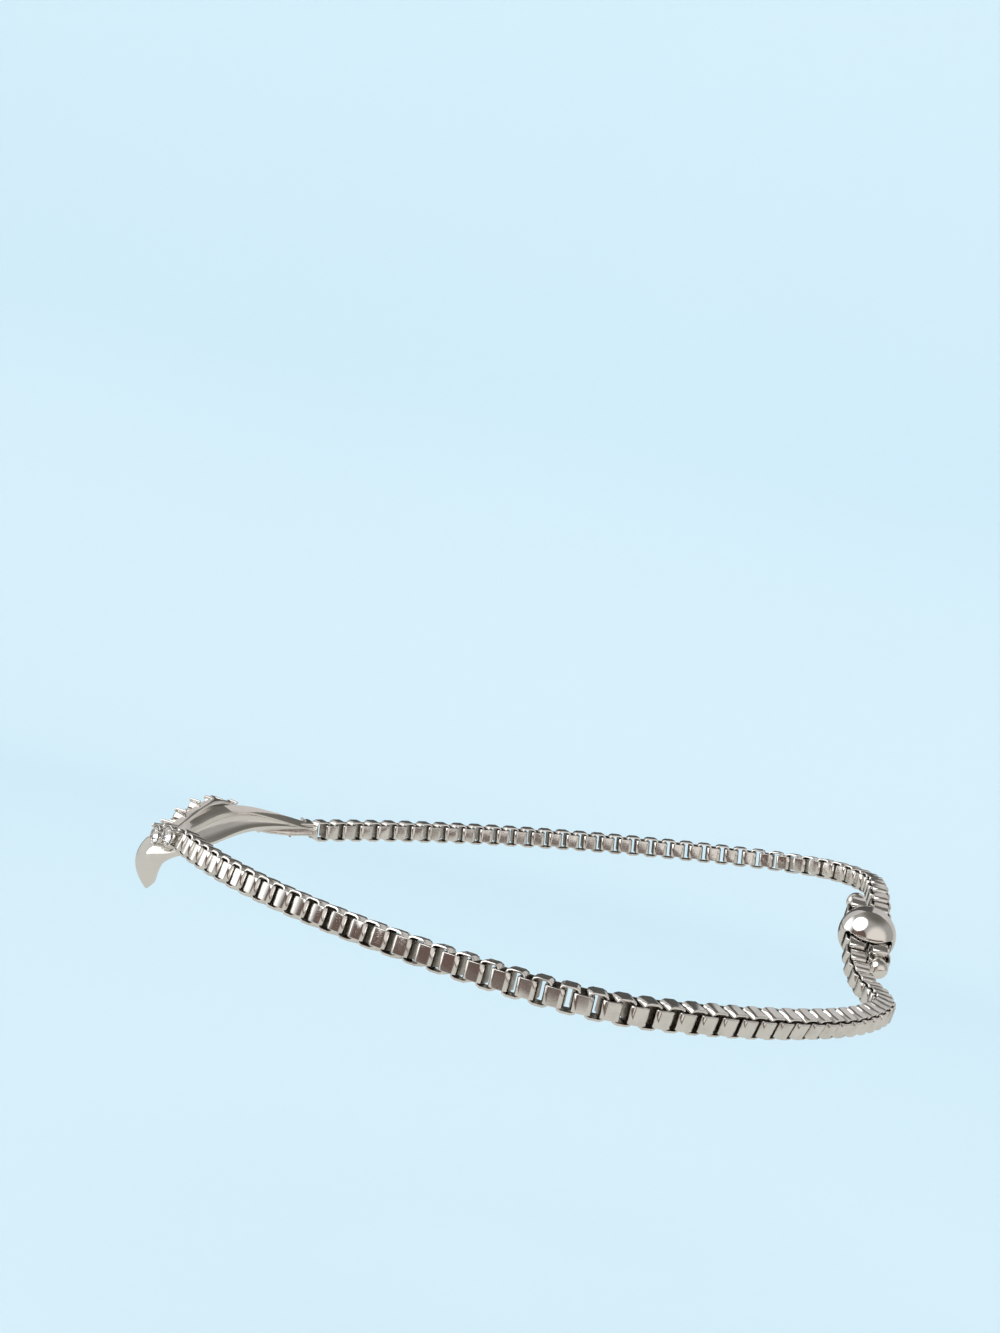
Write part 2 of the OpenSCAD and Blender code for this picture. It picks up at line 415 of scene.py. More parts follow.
class Workpiece:
    """One piece on the bench: a bmesh that ends as a Blender object."""

    def __init__(self) -> None:
        """Starts with no geometry."""
        self.bm = bmesh.new()

    def place(self, verts: Iterable[Vert], pose: Matrix) -> None:
        """Moves vertices by a matrix."""
        bmesh.ops.transform(self.bm, matrix=pose, verts=list(verts))

    def soften(self, edges: Iterable[Edge], width: float, segments: int) -> None:
        """Rounds edges over, with a number of faces across each."""
        bmesh.ops.bevel(self.bm, geom=list(edges), offset=width, offset_type="OFFSET",
                        segments=segments, profile=0.5, affect="EDGES", material=-1,
                        clamp_overlap=True)

    def face_outwards(self) -> None:
        """Turns the faces of each shell outwards."""
        bmesh.ops.recalc_face_normals(self.bm, faces=self.bm.faces[:])

    def creases(self, angle: float, verts: Iterable[Vert]) -> list[Edge]:
        """Finds the edges among some vertices where the surface turns by more than an angle."""
        among = set(verts)
        return [edge for edge in self.bm.edges if among.issuperset(edge.verts)
                and edge.is_manifold and edge.calc_face_angle(0.0) > radians(angle)]

    def dress(self, name: str, finishes: Sequence[Finish], smooth: bool) -> Piece:
        """Turns the bmesh into an object with its materials.

        Args:
            name: Name of the object.
            finishes: Finishes in the order of the faces' material numbers.
            smooth: Whether the faces are shaded smooth.

        Returns:
            The object.
        """
        for face in self.bm.faces:
            face.smooth = smooth
        mesh = bpy.data.meshes.new(name)
        self.bm.to_mesh(mesh)
        self.bm.free()
        for finish in finishes:
            mesh.materials.append(finish.material())
        return show(name, mesh)

    def finish(self, name: str, finishes: Sequence[Finish], slot: Slot, node: str,
               smooth_below: float = 60.0) -> Piece:
        """Turns the bmesh from millimetres into a dressed piece that stands for a CAD node.

        Args:
            name: Name of the piece.
            finishes: Finishes in the order of the faces' material numbers.
            slot: Slot of the record that matches the piece; not used.
            node: CAD node that the piece stands for, alone or with others.
            smooth_below: Turn in degrees past which an edge stays sharp, or 0 for flat faces.

        Returns:
            The object.
        """
        bmesh.ops.scale(self.bm, vec=Vector((MM, MM, MM)), verts=self.bm.verts[:])
        piece = self.dress(name, finishes, smooth_below > 0)
        if smooth_below > 0:
            piece.data.set_sharp_from_angle(angle=radians(smooth_below))
            piece.modifiers.new("even_faces", "WEIGHTED_NORMAL").keep_sharp = True
        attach(piece, ROOT)
        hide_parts(node)
        LOG.info("%s: %d faces, stands for %s", name, len(piece.data.polygons), node)
        return piece


class SubAssembly(ABC):
    """A part of the bracelet that builds and dresses its own pieces."""

    @abstractmethod
    def build(self) -> list[Piece]:
        """Builds the pieces and gives them."""


# Layout


@dataclass(frozen=True)
class FrontArc:
    """Upright cylinder that the front piece is bent around."""

    centre: Vector
    radius: float = 17.0
    length: float = 33.2
    start_turn: float = 134.4

    def turn(self, along: float) -> float:
        """Gives the arc's heading at a distance along it, in degrees."""
        return self.start_turn - along / self.radius * 180 / pi

    def point(self, along: float, out: float, up: float) -> Vector:
        """Gives the point at a distance along the arc, a distance outside it and a height."""
        turn, reach = radians(self.turn(along)), self.radius + out
        return self.centre + Vector((-reach * sin(turn), reach * cos(turn), up))


@dataclass(frozen=True)
class Strand:
    """Line of a chain strand, given link by link.

    A row of each table gives a distance along the strand and an angle there, in degrees.
    """

    centres: tuple[Vector, ...]
    turns: Rows
    rises: Rows
    pitch: float
    upright_at: int
    rolls: Rows = ((0, 0),)

    def pose(self, index: int) -> Matrix:
        """Gives a link's pose.

        Args:
            index: Number of the link.

        Returns:
            The matrix that puts a flat link along +X there.
        """
        along = index * self.pitch
        stance = Stance.UPRIGHT if (index - self.upright_at) % 2 == 0 else Stance.FLAT
        return posed(self.centres[index], lookup(along, self.turns), lookup(along, self.rises),
                     stance.value + lookup(along, self.rolls))

    def between(self, along: float) -> Vector:
        """Gives the point at a distance along the line."""
        index = floor(along / self.pitch)
        return self.centres[index].lerp(self.centres[index + 1], along / self.pitch - index)


@dataclass(frozen=True)
class LoopLayout:
    """Run of both strands around the wrist, from the front piece to the slider."""

    pitch: float = 1.0
    slide_at: float = 100.5
    slot_half: float = 2.6
    far_length: float = 83.0
    near_start: Place = (-29.1, -8.0, 0.0)
    strand_offset: float = 1.12
    tail_length: float = 4.42
    slider_rise: float = 32.0
    climb_from: float = 12.0
    ball_seat: float = 0.92
    arc_seat: float = 0.6
    far_end_height: float = -0.4
    near_turns: Rows = ((0, -58), (42, -8), (50.5, 32), (72, 56), (82, 73), (90, 104),
                        (92.5, 104), (98.5, 90))
    far_turns: Rows = ((0, 90), (14.5, 90), (34, 178), (83, 219.5))
    far_rises: Rows = ((0, 32), (5.5, 32), (14.8, 0), (19, 0), (27, -7.6), (100, -7.6))
    near_rolls: Rows = ((0, -14), (12, -11), (30, -10), (44, 3), (60, 17), (68, 24), (72, 24),
                        (88, 0))

    def march(self, start: Vector, turns: Rows, rises: Rows, count: int) -> list[Vector]:
        """Steps along a strand's headings and climbs.

        Args:
            start: Centre of the first link.
            turns: Heading at distances along the strand.
            rises: Climb at distances along it.
            count: Number of steps.

        Returns:
            The centres of the links.
        """
        centres = [start]
        for i in range(count):
            middle = (i + 0.5) * self.pitch
            step = heading(lookup(middle, turns), lookup(middle, rises))
            centres.append(centres[-1] + step * self.pitch)
        return centres

    @property
    def near_last(self) -> int:
        """Number of the near strand's last link."""
        return round((self.slide_at + self.tail_length - self.ball_seat) / self.pitch)

    @property
    def far_last(self) -> int:
        """Number of the far strand's last link."""
        return round(self.far_length / self.pitch)

    @property
    def near(self) -> Strand:
        """Near strand.

        Returns:
            The line from the front piece to its stopper.
        """
        rises = ((0, 0), (self.slide_at - self.climb_from, 0),
                 (self.slide_at - self.slot_half, self.slider_rise))
        run = self.march(Vector(self.near_start), self.near_turns, rises, self.near_last + 1)
        return Strand(tuple(run), self.near_turns, rises, self.pitch, 0, self.near_rolls)

    @property
    def slide_turn(self) -> float:
        """Heading of the strands in the slider."""
        return lookup(self.slide_at, self.near_turns)

    @property
    def slide_axis(self) -> Vector:
        """Direction of the strands in the slider."""
        return heading(self.slide_turn, self.slider_rise)

    @property
    def slide_side(self) -> Vector:
        """Direction from the near strand to the far one in the slider."""
        return heading(self.slide_turn - 90, 0)

    @property
    def slider_centre(self) -> Vector:
        """Middle of the slider ball."""
        return self.near.between(self.slide_at) + self.slide_side * self.strand_offset

    @property
    def near_stop(self) -> Vector:
        """Middle of the near strand's stopper."""
        return self.near.centres[self.near_last] + self.slide_axis * self.ball_seat

    @property
    def far_stop(self) -> Vector:
        """Middle of the far strand's stopper."""
        return (self.slider_centre + self.slide_side * self.strand_offset
                - self.slide_axis * self.tail_length)

    @property
    def arc(self) -> FrontArc:
        """Arc of the front piece, which starts where the near strand's first link is held."""
        start = self.near.centres[0] - heading(self.near_turns[0][1], 0) * self.arc_seat
        return FrontArc(start + heading(FrontArc.start_turn - 90, 0) * FrontArc.radius)

    @property
    def far(self) -> Strand:
        """Far strand.

        Returns:
            The line from its stopper through the slider to the front piece.
        """
        start = self.far_stop + self.slide_axis * self.ball_seat
        run = self.march(start, self.far_turns, self.far_rises, self.far_last)
        arc = self.arc
        goal = (arc.point(arc.length, 0, self.far_end_height)
                + heading(arc.turn(arc.length), 0) * self.arc_seat)
        share = (goal - run[-1]) / self.far_last
        closed = tuple(centre + share * i for i, centre in enumerate(run))
        return Strand(closed, self.far_turns, self.far_rises, self.pitch, self.far_last)

    def along_slider(self, centre: Vector) -> Matrix:
        """Gives the pose that puts +X along the strands in the slider."""
        return posed(centre, self.slide_turn, self.slider_rise)


# Chain


@dataclass(frozen=True)
class LinkForge:
    """One link of box chain: a flat strip folded into a rectangular ring."""

    pitch: float = 1.0
    strip_thickness: float = 0.18
    strip_width: float = 1.4
    height: float = 2.1
    play: float = 0.24
    fold_radius: float = 0.42
    fold_segments: int = 2
    edge_radius: float = 0.05
    hollow_shade_number: int = 1
    flat_facing: float = 0.9
    end_facing: float = 0.97
    rim_crease: float = 80.0

    @property
    def length(self) -> float:
        """Outer length of the link along the chain."""
        return self.pitch + 2 * self.strip_thickness + self.play

    def add(self, work: Workpiece, hollow: bool = True) -> list[Vert]:
        """Adds a flat link at the origin, along +X, with its hole along Z.

        Args:
            work: Workpiece that gets the link.
            hollow: Whether the inner walls and the ends take the painted shade of the link's
                hollow.

        Returns:
            The link's vertices.
        """
        bm = work.bm
        others = set(bm.verts)
        block = bmesh.ops.create_cube(bm, size=1.0)["verts"]
        bmesh.ops.scale(bm, vec=Vector((self.length, self.height, self.strip_width)), verts=block)
        folds = {edge for vert in block for edge in vert.link_edges
                 if abs(edge.verts[0].co.z - edge.verts[1].co.z) > self.strip_width / 2}
        made = bmesh.ops.bevel(bm, geom=list(folds), offset=self.fold_radius,
                               offset_type="OFFSET", segments=self.fold_segments, profile=0.5,
                               affect="EDGES", material=-1)
        flats = {face for strip in made["faces"] for vert in strip.verts
                 for face in vert.link_faces if abs(face.normal.z) > self.flat_facing}
        bmesh.ops.inset_individual(bm, faces=list(flats), thickness=self.strip_thickness)
        rims = {edge for face in flats for edge in face.edges}
        bmesh.ops.delete(bm, geom=list(flats), context="FACES_ONLY")
        walls = bmesh.ops.bridge_loops(bm, edges=list(rims))["faces"]
        link = set(bm.verts) - others
        # The ends and the inner walls take the painted shade of the hollow.
        ends = {face for vert in link for face in vert.link_faces
                if abs(face.normal.x) > self.end_facing}
        for face in ends.union(walls):
            face.material_index = self.hollow_shade_number if hollow else 0
        inner = {vert for face in walls for vert in face.verts}
        work.soften([edge for edge in work.creases(self.rim_crease, link)
                     if not inner.intersection(edge.verts)], self.edge_radius, 1)
        return [vert for vert in bm.verts if vert not in others]


@dataclass(frozen=True)
class ChainStrand(SubAssembly):
    """Box chain between the front piece and a stopper."""

    name: str
    node: str
    strand: Strand
    first: int
    last: int
    forge: LinkForge = LinkForge()

    def build(self) -> list[Piece]:
        """Repeats one link along the strand.

        Returns:
            The strand as one piece.
        """
        work = Workpiece()
        pattern = self.forge.add(work)
        seed = pattern + work.bm.faces[:]
        for index in range(self.first, self.last + 1):
            copied = bmesh.ops.duplicate(work.bm, geom=seed)["geom"]
            work.place(verts_in(copied), self.strand.pose(index))
        bmesh.ops.delete(work.bm, geom=pattern, context="VERTS")
        work.face_outwards()
        # The second finish is the painted shade inside the links.
        return [work.finish(self.name, (CHAIN_FINISH, CHAIN_HOLLOW_SHADE), Slot.CHAIN, self.node)]


# Slider


@dataclass(frozen=True)
class SliderBall(SubAssembly):
    """Polished ball with a rounded slot for both strands."""

    layout: LoopLayout
    diameter: float = 5.5
    slot_width: float = 4.6
    slot_height: float = 2.4
    slot_corner: float = 0.6
    around: int = 64
    rings: int = 14
    lip: float = 0.16
    lip_segments: int = 3

    def mouth(self, angle: float) -> tuple[float, float]:
        """Gives the slot's outline.

        Args:
            angle: Angle around the slot's axis, in radians.

        Returns:
            The point across and up.
        """
        wide = self.slot_width / 2 - self.slot_corner
        high = self.slot_height / 2 - self.slot_corner
        across, up = cos(angle), sin(angle)
        reach = min(self.slot_width / 2 / max(abs(across), TINY),
                    self.slot_height / 2 / max(abs(up), TINY))
        y, z = across * reach, up * reach
        if abs(y) > wide and abs(z) > high:
            corner = Vector((wide if y > 0 else -wide, high if z > 0 else -high))
            lean = corner.dot(Vector((across, up)))
            far = corner.length_squared - self.slot_corner ** 2
            reach = lean + sqrt(max(lean * lean - far, 0.0))
            y, z = across * reach, up * reach
        return y, z

    def build(self) -> list[Piece]:
        """Bridges rings that run over the ball from one mouth of the slot to the other.

        Returns:
            The ball.
        """
        radius = self.diameter / 2
        work = Workpiece()
        loops = []
        for step in range(-self.rings, self.rings + 1):
            made = bmesh.ops.create_circle(work.bm, segments=self.around, radius=1.0)["verts"]
            for vert in made:
                angle = atan2(vert.co.y, vert.co.x)
                y, z = self.mouth(angle)
                rim = Vector((sqrt(radius ** 2 - y * y - z * z), y, z))
                belt = Vector((0.0, radius * cos(angle), radius * sin(angle)))
                point = belt.slerp(rim, abs(step) / self.rings) * radius
                vert.co = Vector((point.x if step > 0 else -point.x, point.y, point.z))
            loops.append({edge for vert in made for edge in vert.link_edges})
        for one, other in zip(loops, loops[1:]):
            bmesh.ops.bridge_loops(work.bm, edges=list(one | other))
        bmesh.ops.bridge_loops(work.bm, edges=list(loops[0] | loops[-1]))
        work.face_outwards()
        work.soften(loops[0] | loops[-1], self.lip, self.lip_segments)
        work.place(work.bm.verts, self.layout.along_slider(self.layout.slider_centre))
        return [work.finish("slider_bead", (MIRROR_FINISH,), Slot.POLISHED, "slider_ball")]


@dataclass(frozen=True)
class Stopper(SubAssembly):
    """Small ball soldered to a strand's last link."""

    name: str
    node: str
    layout: LoopLayout
    centre: Vector
    strand: Strand
    link: int
    toward_link: int
    diameter: float = 2.0
    segments: int = 40
    rings: int = 24
    collar_radius: float = 0.52
    collar_flare: float = 1.25
    collar_reach: float = 1.12
    collar_segments: int = 24
    collar_crease: float = 50.0
    collar_edge: float = 0.1
    forge: LinkForge = LinkForge()

    def build(self) -> list[Piece]:
        """Makes the ball, the solder collar and the link in it.

        Returns:
            The stopper.
        """
        work = Workpiece()
        link = self.forge.add(work, hollow=False)
        work.face_outwards()
        work.place(link, self.strand.pose(self.link))
        ball = bmesh.ops.create_uvsphere(work.bm, u_segments=self.segments,
                                         v_segments=self.rings, radius=self.diameter / 2)["verts"]
        collar = bmesh.ops.create_cone(
            work.bm, cap_ends=True, segments=self.collar_segments, depth=self.collar_reach,
            radius1=self.collar_radius * self.collar_flare, radius2=self.collar_radius)["verts"]
        work.soften(work.creases(self.collar_crease, set(collar)), self.collar_edge, 2)
        around = set(work.bm.verts) - set(link) - set(ball)
        work.place(around, Matrix.Rotation(radians(90 * self.toward_link), 4, "Y")
                   @ Matrix.Translation((0.0, 0.0, self.collar_reach / 2)))
        work.place(around.union(ball), self.layout.along_slider(self.centre))
        return [work.finish(self.name, (MIRROR_FINISH,), Slot.POLISHED, self.node)]


# Front piece


class Column(IntEnum):
    """Columns of a ribbon's rows, after the distance along the arc."""

    MIDDLE = 1
    WIDTH = 2
    FACE = 3


@dataclass(frozen=True)
class RibbonForm:
    """Ribbon bent around the front arc.

    Each row gives a distance along the arc, the height of the middle, the width and the
    height of the face above the arc. Between the rows, easing averages the values at a few
    shifts along the arc, each with its weight.
    """

    rows: Rows
    wall: float
    crown: float
    edge: float
    station_step: float = 0.35
    across: int = 12
    full_width: float = 5.0
    crease: float = 50.0
    edge_segments: int = 3
    easing: Rows = ((-1.0, 1), (-0.5, 2), (0.0, 2), (0.5, 2), (1.0, 1))

    def eased(self, column: Column, at: float) -> float:
        """Reads a column at a distance along the arc, with its corners rounded."""
        total = sum(weight * lookup(at + shift, self.rows, column) for shift, weight in self.easing)
        return total / sum(weight for _, weight in self.easing)

    def point(self, arc: FrontArc, at: float, side: float) -> Vector:
        """Gives a point of the ribbon's face.

        Args:
            arc: The front arc.
            at: Distance along it.
            side: Place across the ribbon, from -1 to 1.

        Returns:
            The point.
        """
        half = self.eased(Column.WIDTH, at) / 2
        bow = self.crown * min(2 * half / self.full_width, 1.0)
        return arc.point(at, self.eased(Column.FACE, at) - bow * side * side,
                         self.eased(Column.MIDDLE, at) + side * half)

    def bend(self, arc: FrontArc) -> Workpiece:
        """Makes the ribbon with its edges rounded.

        Args:
            arc: The front arc.

        Returns:
            The ribbon on a bench of its own.
        """
        work = Workpiece()
        first = self.rows[0][0]
        stations = ceil((arc.length - first) / self.station_step)
        grid = bmesh.ops.create_grid(work.bm, x_segments=stations, y_segments=self.across,
                                     size=1.0)["verts"]
        for vert in grid:
            at = first + (arc.length - first) * (vert.co.x + 1) / 2
            vert.co = self.point(arc, at, vert.co.y)
        bmesh.ops.reverse_faces(work.bm, faces=work.bm.faces[:])
        work.bm.normal_update()
        bmesh.ops.solidify(work.bm, geom=work.bm.faces[:], thickness=self.wall)
        work.face_outwards()
        work.soften(work.creases(self.crease, work.bm.verts), self.edge, self.edge_segments)
        return work


PLAIN_RIBBON = RibbonForm(
    rows=((-0.2, -0.8, 0.8, 0.5), (1.3, -1.7, 0.85, 0.8), (2.4, -1.95, 1.7, 1.2),
          (3.4, -2.4, 3.5, 1.6), (4.6, -3.1, 5.2, 1.9), (6.4, -3.5, 5.0, 2.0),
          (9, -3.5, 4.3, 2.0), (12, -3.3, 3.6, 1.9), (16, -3.0, 3.1, 1.6),
          (18.5, -2.5, 3.4, 1.4), (20.5, -1.85, 3.9, 1.4), (22.3, -1.3, 4.1, 1.4),
          (24.3, -0.8, 3.4, 1.3), (26.3, -0.45, 2.6, 1.2), (29, -0.35, 1.8, 1.0),
          (33.2, -0.4, 0.8, 0.6)),
    wall=0.8, crown=1.3, edge=0.16)
SETTING_RIBBON = RibbonForm(
    rows=((-0.2, 0.4, 1.5, 0.9), (2.4, -0.2, 1.5, 1.1), (4.4, -0.9, 1.5, 1.1),
          (7, -1.9, 1.5, 1.1), (10, -3.0, 1.5, 1.4), (12, -3.3, 1.5, 1.4),
          (14, -3.0, 1.5, 1.4), (16, -2.2, 1.5, 1.35), (18.5, -0.9, 1.5, 1.4),
          (20.4, 0.05, 1.5, 1.55), (21.8, 0.5, 1.5, 1.6), (23.2, 0.4, 1.5, 1.6),
          (25.5, -0.2, 1.5, 1.7), (28, -1.1, 1.5, 1.65), (31, -0.9, 1.5, 1.1),
          (33.2, -0.4, 1.5, 0.8)),
    wall=0.9, crown=0.12, edge=0.14, across=6)


@dataclass(frozen=True)
class StoneSeats:
    """Places of the stones on the stone-set ribbon."""

    arc: FrontArc
    ribbon: RibbonForm = SETTING_RIBBON
    count: int = 11
    lead_count: int = 2
    lead_start: float = 0.35
    row_start: float = 16.1
    pitch: float = 2.05
    half_seat: float = 0.5

    def station(self, number: int) -> float:
        """Gives a stone's distance along the arc, with the first stone as number 1."""
        start, first = ((self.lead_start, 1) if number <= self.lead_count
                        else (self.row_start, self.lead_count + 1))
        return start + (number - first) * self.pitch

    def pose(self, number: int) -> Matrix:
        """Gives the pose of a stone's setting.

        Args:
            number: Number of the stone.

        Returns:
            The matrix, with +Z out of the ribbon's face.
        """
        at = self.station(number)
        rise = (self.ribbon.eased(Column.MIDDLE, at + self.half_seat)
                - self.ribbon.eased(Column.MIDDLE, at - self.half_seat))
        spot = self.arc.point(at, self.ribbon.eased(Column.FACE, at),
                              self.ribbon.eased(Column.MIDDLE, at))
        return (Matrix.Translation(spot)
                @ Matrix.Rotation(radians(self.arc.turn(at) + 90), 4, "Z")
                @ Matrix.Rotation(radians(90), 4, "Y")
                @ Matrix.Rotation(atan2(rise, 2 * self.half_seat), 4, "Z"))


@dataclass(frozen=True)
class StoneSetting:
    """Cup and four prongs that hold one stone."""

    cup_depth: float = 0.35
    cup_height: float = 0.62
    cup_foot: float = 1.3
    cup_mouth: float = 1.8
    cup_lip: float = 0.17
    cup_floor: float = 0.06
    cup_segments: int = 32
    lip_crease: float = 30.0
    lip_edge: float = 0.05
    lip_margin: float = 0.01
    prong_circle: float = 0.95
    prong_height: float = 0.86
    prong_diameter: float = 0.27
    prong_count: int = 4
    prong_segments: int = 12
    tip_circle: float = 0.81
    tip_height: float = 0.92
    tip_diameter: float = 0.33
    tip_segments: int = 14
    tip_rings: int = 9

    def add(self, work: Workpiece, pose: Matrix) -> None:
        """Adds the cup and the prongs.

        Args:
            work: Workpiece that gets them.
            pose: Pose of the setting.
        """
        bm = work.bm
        known = set(bm.verts)
        depth = self.cup_depth + self.cup_height
        cup = bmesh.ops.create_cone(
            bm, cap_ends=True, segments=self.cup_segments, depth=depth,
            radius1=self.cup_foot / 2, radius2=self.cup_mouth / 2,
            matrix=Matrix.Translation((0, 0, self.cup_height - depth / 2)))["verts"]
        mouth = max({face for vert in cup for face in vert.link_faces},
                    key=lambda face: face.calc_center_median().z)
        bmesh.ops.inset_individual(bm, faces=[mouth], thickness=self.cup_lip)
        middle = bmesh.ops.poke(bm, faces=[mouth])["verts"]
        bmesh.ops.translate(bm, verts=middle,
                            vec=Vector((0, 0, self.cup_floor - self.cup_height)))
        lip = self.cup_height - self.lip_margin
        work.soften([edge for edge in work.creases(self.lip_crease, set(bm.verts) - known)
                     if all(vert.co.z > lip for vert in edge.verts)], self.lip_edge, 2)
        for step in range(self.prong_count):
            turn = Matrix.Rotation((step + 0.5) * 2 * pi / self.prong_count, 4, "Z")
            bmesh.ops.create_cone(
                bm, cap_ends=True, segments=self.prong_segments,
                depth=self.prong_height + self.cup_depth, radius1=self.prong_diameter / 2,
                radius2=self.prong_diameter / 2, matrix=turn @ Matrix.Translation(
                    (self.prong_circle, 0, (self.prong_height - self.cup_depth) / 2)))
            for circle, height, diameter in (
                    (self.tip_circle, self.tip_height, self.tip_diameter),
                    (self.prong_circle, self.prong_height, self.prong_diameter)):
                bmesh.ops.create_uvsphere(
                    bm, u_segments=self.tip_segments, v_segments=self.tip_rings,
                    radius=diameter / 2, matrix=turn @ Matrix.Translation((circle, 0, height)))
        work.place(set(bm.verts) - known, pose)


@dataclass(frozen=True)
class CutStone:
    """Round brilliant cut, measured from its girdle."""

    diameter: float = 1.56
    table_ratio: float = 0.56
    star_ratio: float = 0.80
    star_height: float = 0.155
    crown_height: float = 0.3
    girdle_half: float = 0.03
    main_ratio: float = 0.42
    main_depth: float = 0.385
    pavilion_depth: float = 0.62
    seat_height: float = 0.72
    facets: int = 8
    flat_within: float = 0.5
    foil_number: int = 1

    @property
    def rings(self) -> tuple[tuple[int, float, float, float], ...]:
        """Rings of corners: their number, share of the radius, height and turn in steps."""
        return ((self.facets, self.table_ratio, self.crown_height, 0.0),
                (self.facets, self.star_ratio, self.star_height, 0.5),
                (2 * self.facets, 1.0, self.girdle_half, 0.0),
                (2 * self.facets, 1.0, -self.girdle_half, 0.0),
                (self.facets, self.main_ratio, -self.main_depth, 0.5))

    def build(self, number: int, pose: Matrix) -> Piece:
        """Cuts the stone as the hull of its rings of corners.

        Args:
            number: Number of the stone.
            pose: Pose of its setting.

        Returns:
            The stone.
        """
        work = Workpiece()
        for corners, ratio, height, shift in self.rings:
            bmesh.ops.create_circle(work.bm, segments=corners, radius=self.diameter / 2 * ratio,
                                    matrix=Matrix.Translation((0, 0, height))
                                    @ Matrix.Rotation(shift * 2 * pi / corners, 4, "Z"))
        bmesh.ops.create_vert(work.bm, co=(0, 0, -self.pavilion_depth))
        bmesh.ops.delete(work.bm, geom=work.bm.edges[:], context="EDGES_FACES")
        bmesh.ops.convex_hull(work.bm, input=work.bm.verts[:])
        bmesh.ops.dissolve_limit(work.bm, angle_limit=radians(self.flat_within),
                                 verts=work.bm.verts[:], edges=work.bm.edges[:])
        work.face_outwards()
        for face in work.bm.faces:
            below = all(vert.co.z < 0 for vert in face.verts)
            face.material_index = self.foil_number if below else 0
        work.place(work.bm.verts, pose @ Matrix.Translation((0, 0, self.seat_height)))
        return work.finish(f"cut_stone_{number}", (STONE_FINISH, FOIL_FINISH), Slot.STONE,
                           f"stone_{number}", smooth_below=0.0)


@dataclass(frozen=True)
class FrontPiece(SubAssembly):
    """Crossing ribbons, one polished and one set with stones, between the chain's two ends."""

    layout: LoopLayout
    node: str = "front_piece"
    setting: StoneSetting = StoneSetting()
    stone: CutStone = CutStone()
    forge: LinkForge = LinkForge()

    def polished_ribbon(self) -> Piece:
        """Makes the broad polished ribbon."""
        work = PLAIN_RIBBON.bend(self.layout.arc)
        return work.finish("polished_ribbon", (MIRROR_FINISH,), Slot.POLISHED, self.node)

    def setting_ribbon(self, seats: StoneSeats) -> Piece:
        """Makes the narrow ribbon with its settings.

        Args:
            seats: Places of the stones.

        Returns:
            The ribbon.
        """
        work = SETTING_RIBBON.bend(self.layout.arc)
        for number in range(1, seats.count + 1):
            self.setting.add(work, seats.pose(number))
        return work.finish("setting_ribbon", (SETTING_FINISH,), Slot.POLISHED, self.node)

    def end_links(self) -> Piece:
        """Makes the two links that are soldered to the ribbons' ends.

        Returns:
            Both links as one piece.
        """
        work = Workpiece()
        for pose in (self.layout.near.pose(0), self.layout.far.pose(self.layout.far_last)):
            work.place(self.forge.add(work, hollow=False), pose)
        work.face_outwards()
        return work.finish("end_links", (CHAIN_FINISH,), Slot.CHAIN, self.node)

    def build(self) -> list[Piece]:
        """Makes the ribbons, the end links and the stones.

        Returns:
            The pieces.
        """
        seats = StoneSeats(self.layout.arc)
        stones = [self.stone.build(number, seats.pose(number))
                  for number in range(1, seats.count + 1)]
        return [self.polished_ribbon(), self.setting_ribbon(seats), self.end_links(), *stones]


# Studio


@dataclass(frozen=True)
class SoftGlow:
    """Soft-edged patch of the room's light or dark.

    The bearing is 0 towards the viewer's side (-Y) and grows towards +X, and angles are degrees.
    """

    bearing: float
    height: float
    core: float
    edge: float
    tone: Colour

    def towards(self) -> Vector:
        """Gives the direction of the patch's middle."""
        bearing, height = radians(self.bearing), radians(self.height)
        return Vector((sin(bearing) * cos(height), -cos(bearing) * cos(height), sin(height)))

    def paint(self, write: NodeWriter, way: Socket, under: object) -> Socket:
        """Lays the patch over the room's tone so far, by the way that is looked in."""
        near = write.add("ShaderNodeVectorMath", {0: way, 1: self.towards()},
                         operation="DOT_PRODUCT").outputs["Value"]
        return write.blend(write.spread(near, (cos(radians(self.edge)), cos(radians(self.core)))),
                           under, self.tone)


@dataclass(frozen=True)
class PhotoCamera:
    """Camera at the photograph's viewing angle.

    The near point is the middle of the near chain, and its pixel says how the camera turns.
    """

    near_point: Place = (9.0, -30.0, 0.0)
    distance: float = 117.7
    elevation: float = 12.16
    roll: float = 13.60
    focal_pixels: float = 1600.0
    image: tuple[int, int] = (1000, 1333)
    near_pixel: Span = (595.6, 1003.9)
    sensor_height: float = 24.0
    clip_start: float = 5 * MM

    def build(self) -> Piece:
        """Sets the camera up.

        Returns:
            The camera.
        """
        e, r = radians(self.elevation), radians(self.roll)
        level = Matrix(((cos(r), sin(e) * sin(r), cos(e) * sin(r)),
                        (sin(r), -sin(e) * cos(r), -cos(e) * cos(r)),
                        (0.0, cos(e), -sin(e))))
        right = self.near_pixel[0] - self.image[0] / 2
        down = self.near_pixel[1] - self.image[1] / 2
        a, b = atan2(right, self.focal_pixels), -atan2(down, hypot(self.focal_pixels, right))
        forward = Vector((sin(a) * cos(b), -sin(b), cos(a) * cos(b)))
        side = Vector((cos(a), 0.0, -sin(a)))
        turned = Matrix((side, forward.cross(side), forward)).transposed() @ level
        axes = Matrix((turned[0], -turned[1], -turned[2])).transposed()
        spot = Vector(self.near_point) + Vector((0, -self.distance * cos(e),
                                                 self.distance * sin(e)))
        lens = bpy.data.cameras.new("photo_camera")
        lens.sensor_fit = "VERTICAL"
        lens.sensor_height = self.sensor_height
        lens.lens = self.focal_pixels / self.image[1] * self.sensor_height
        lens.clip_start = self.clip_start
        made = show("photo_camera", lens)
        made.matrix_world = Matrix.Translation(spot * MM) @ axes.to_4x4()
        bpy.context.scene.camera = made
        return made


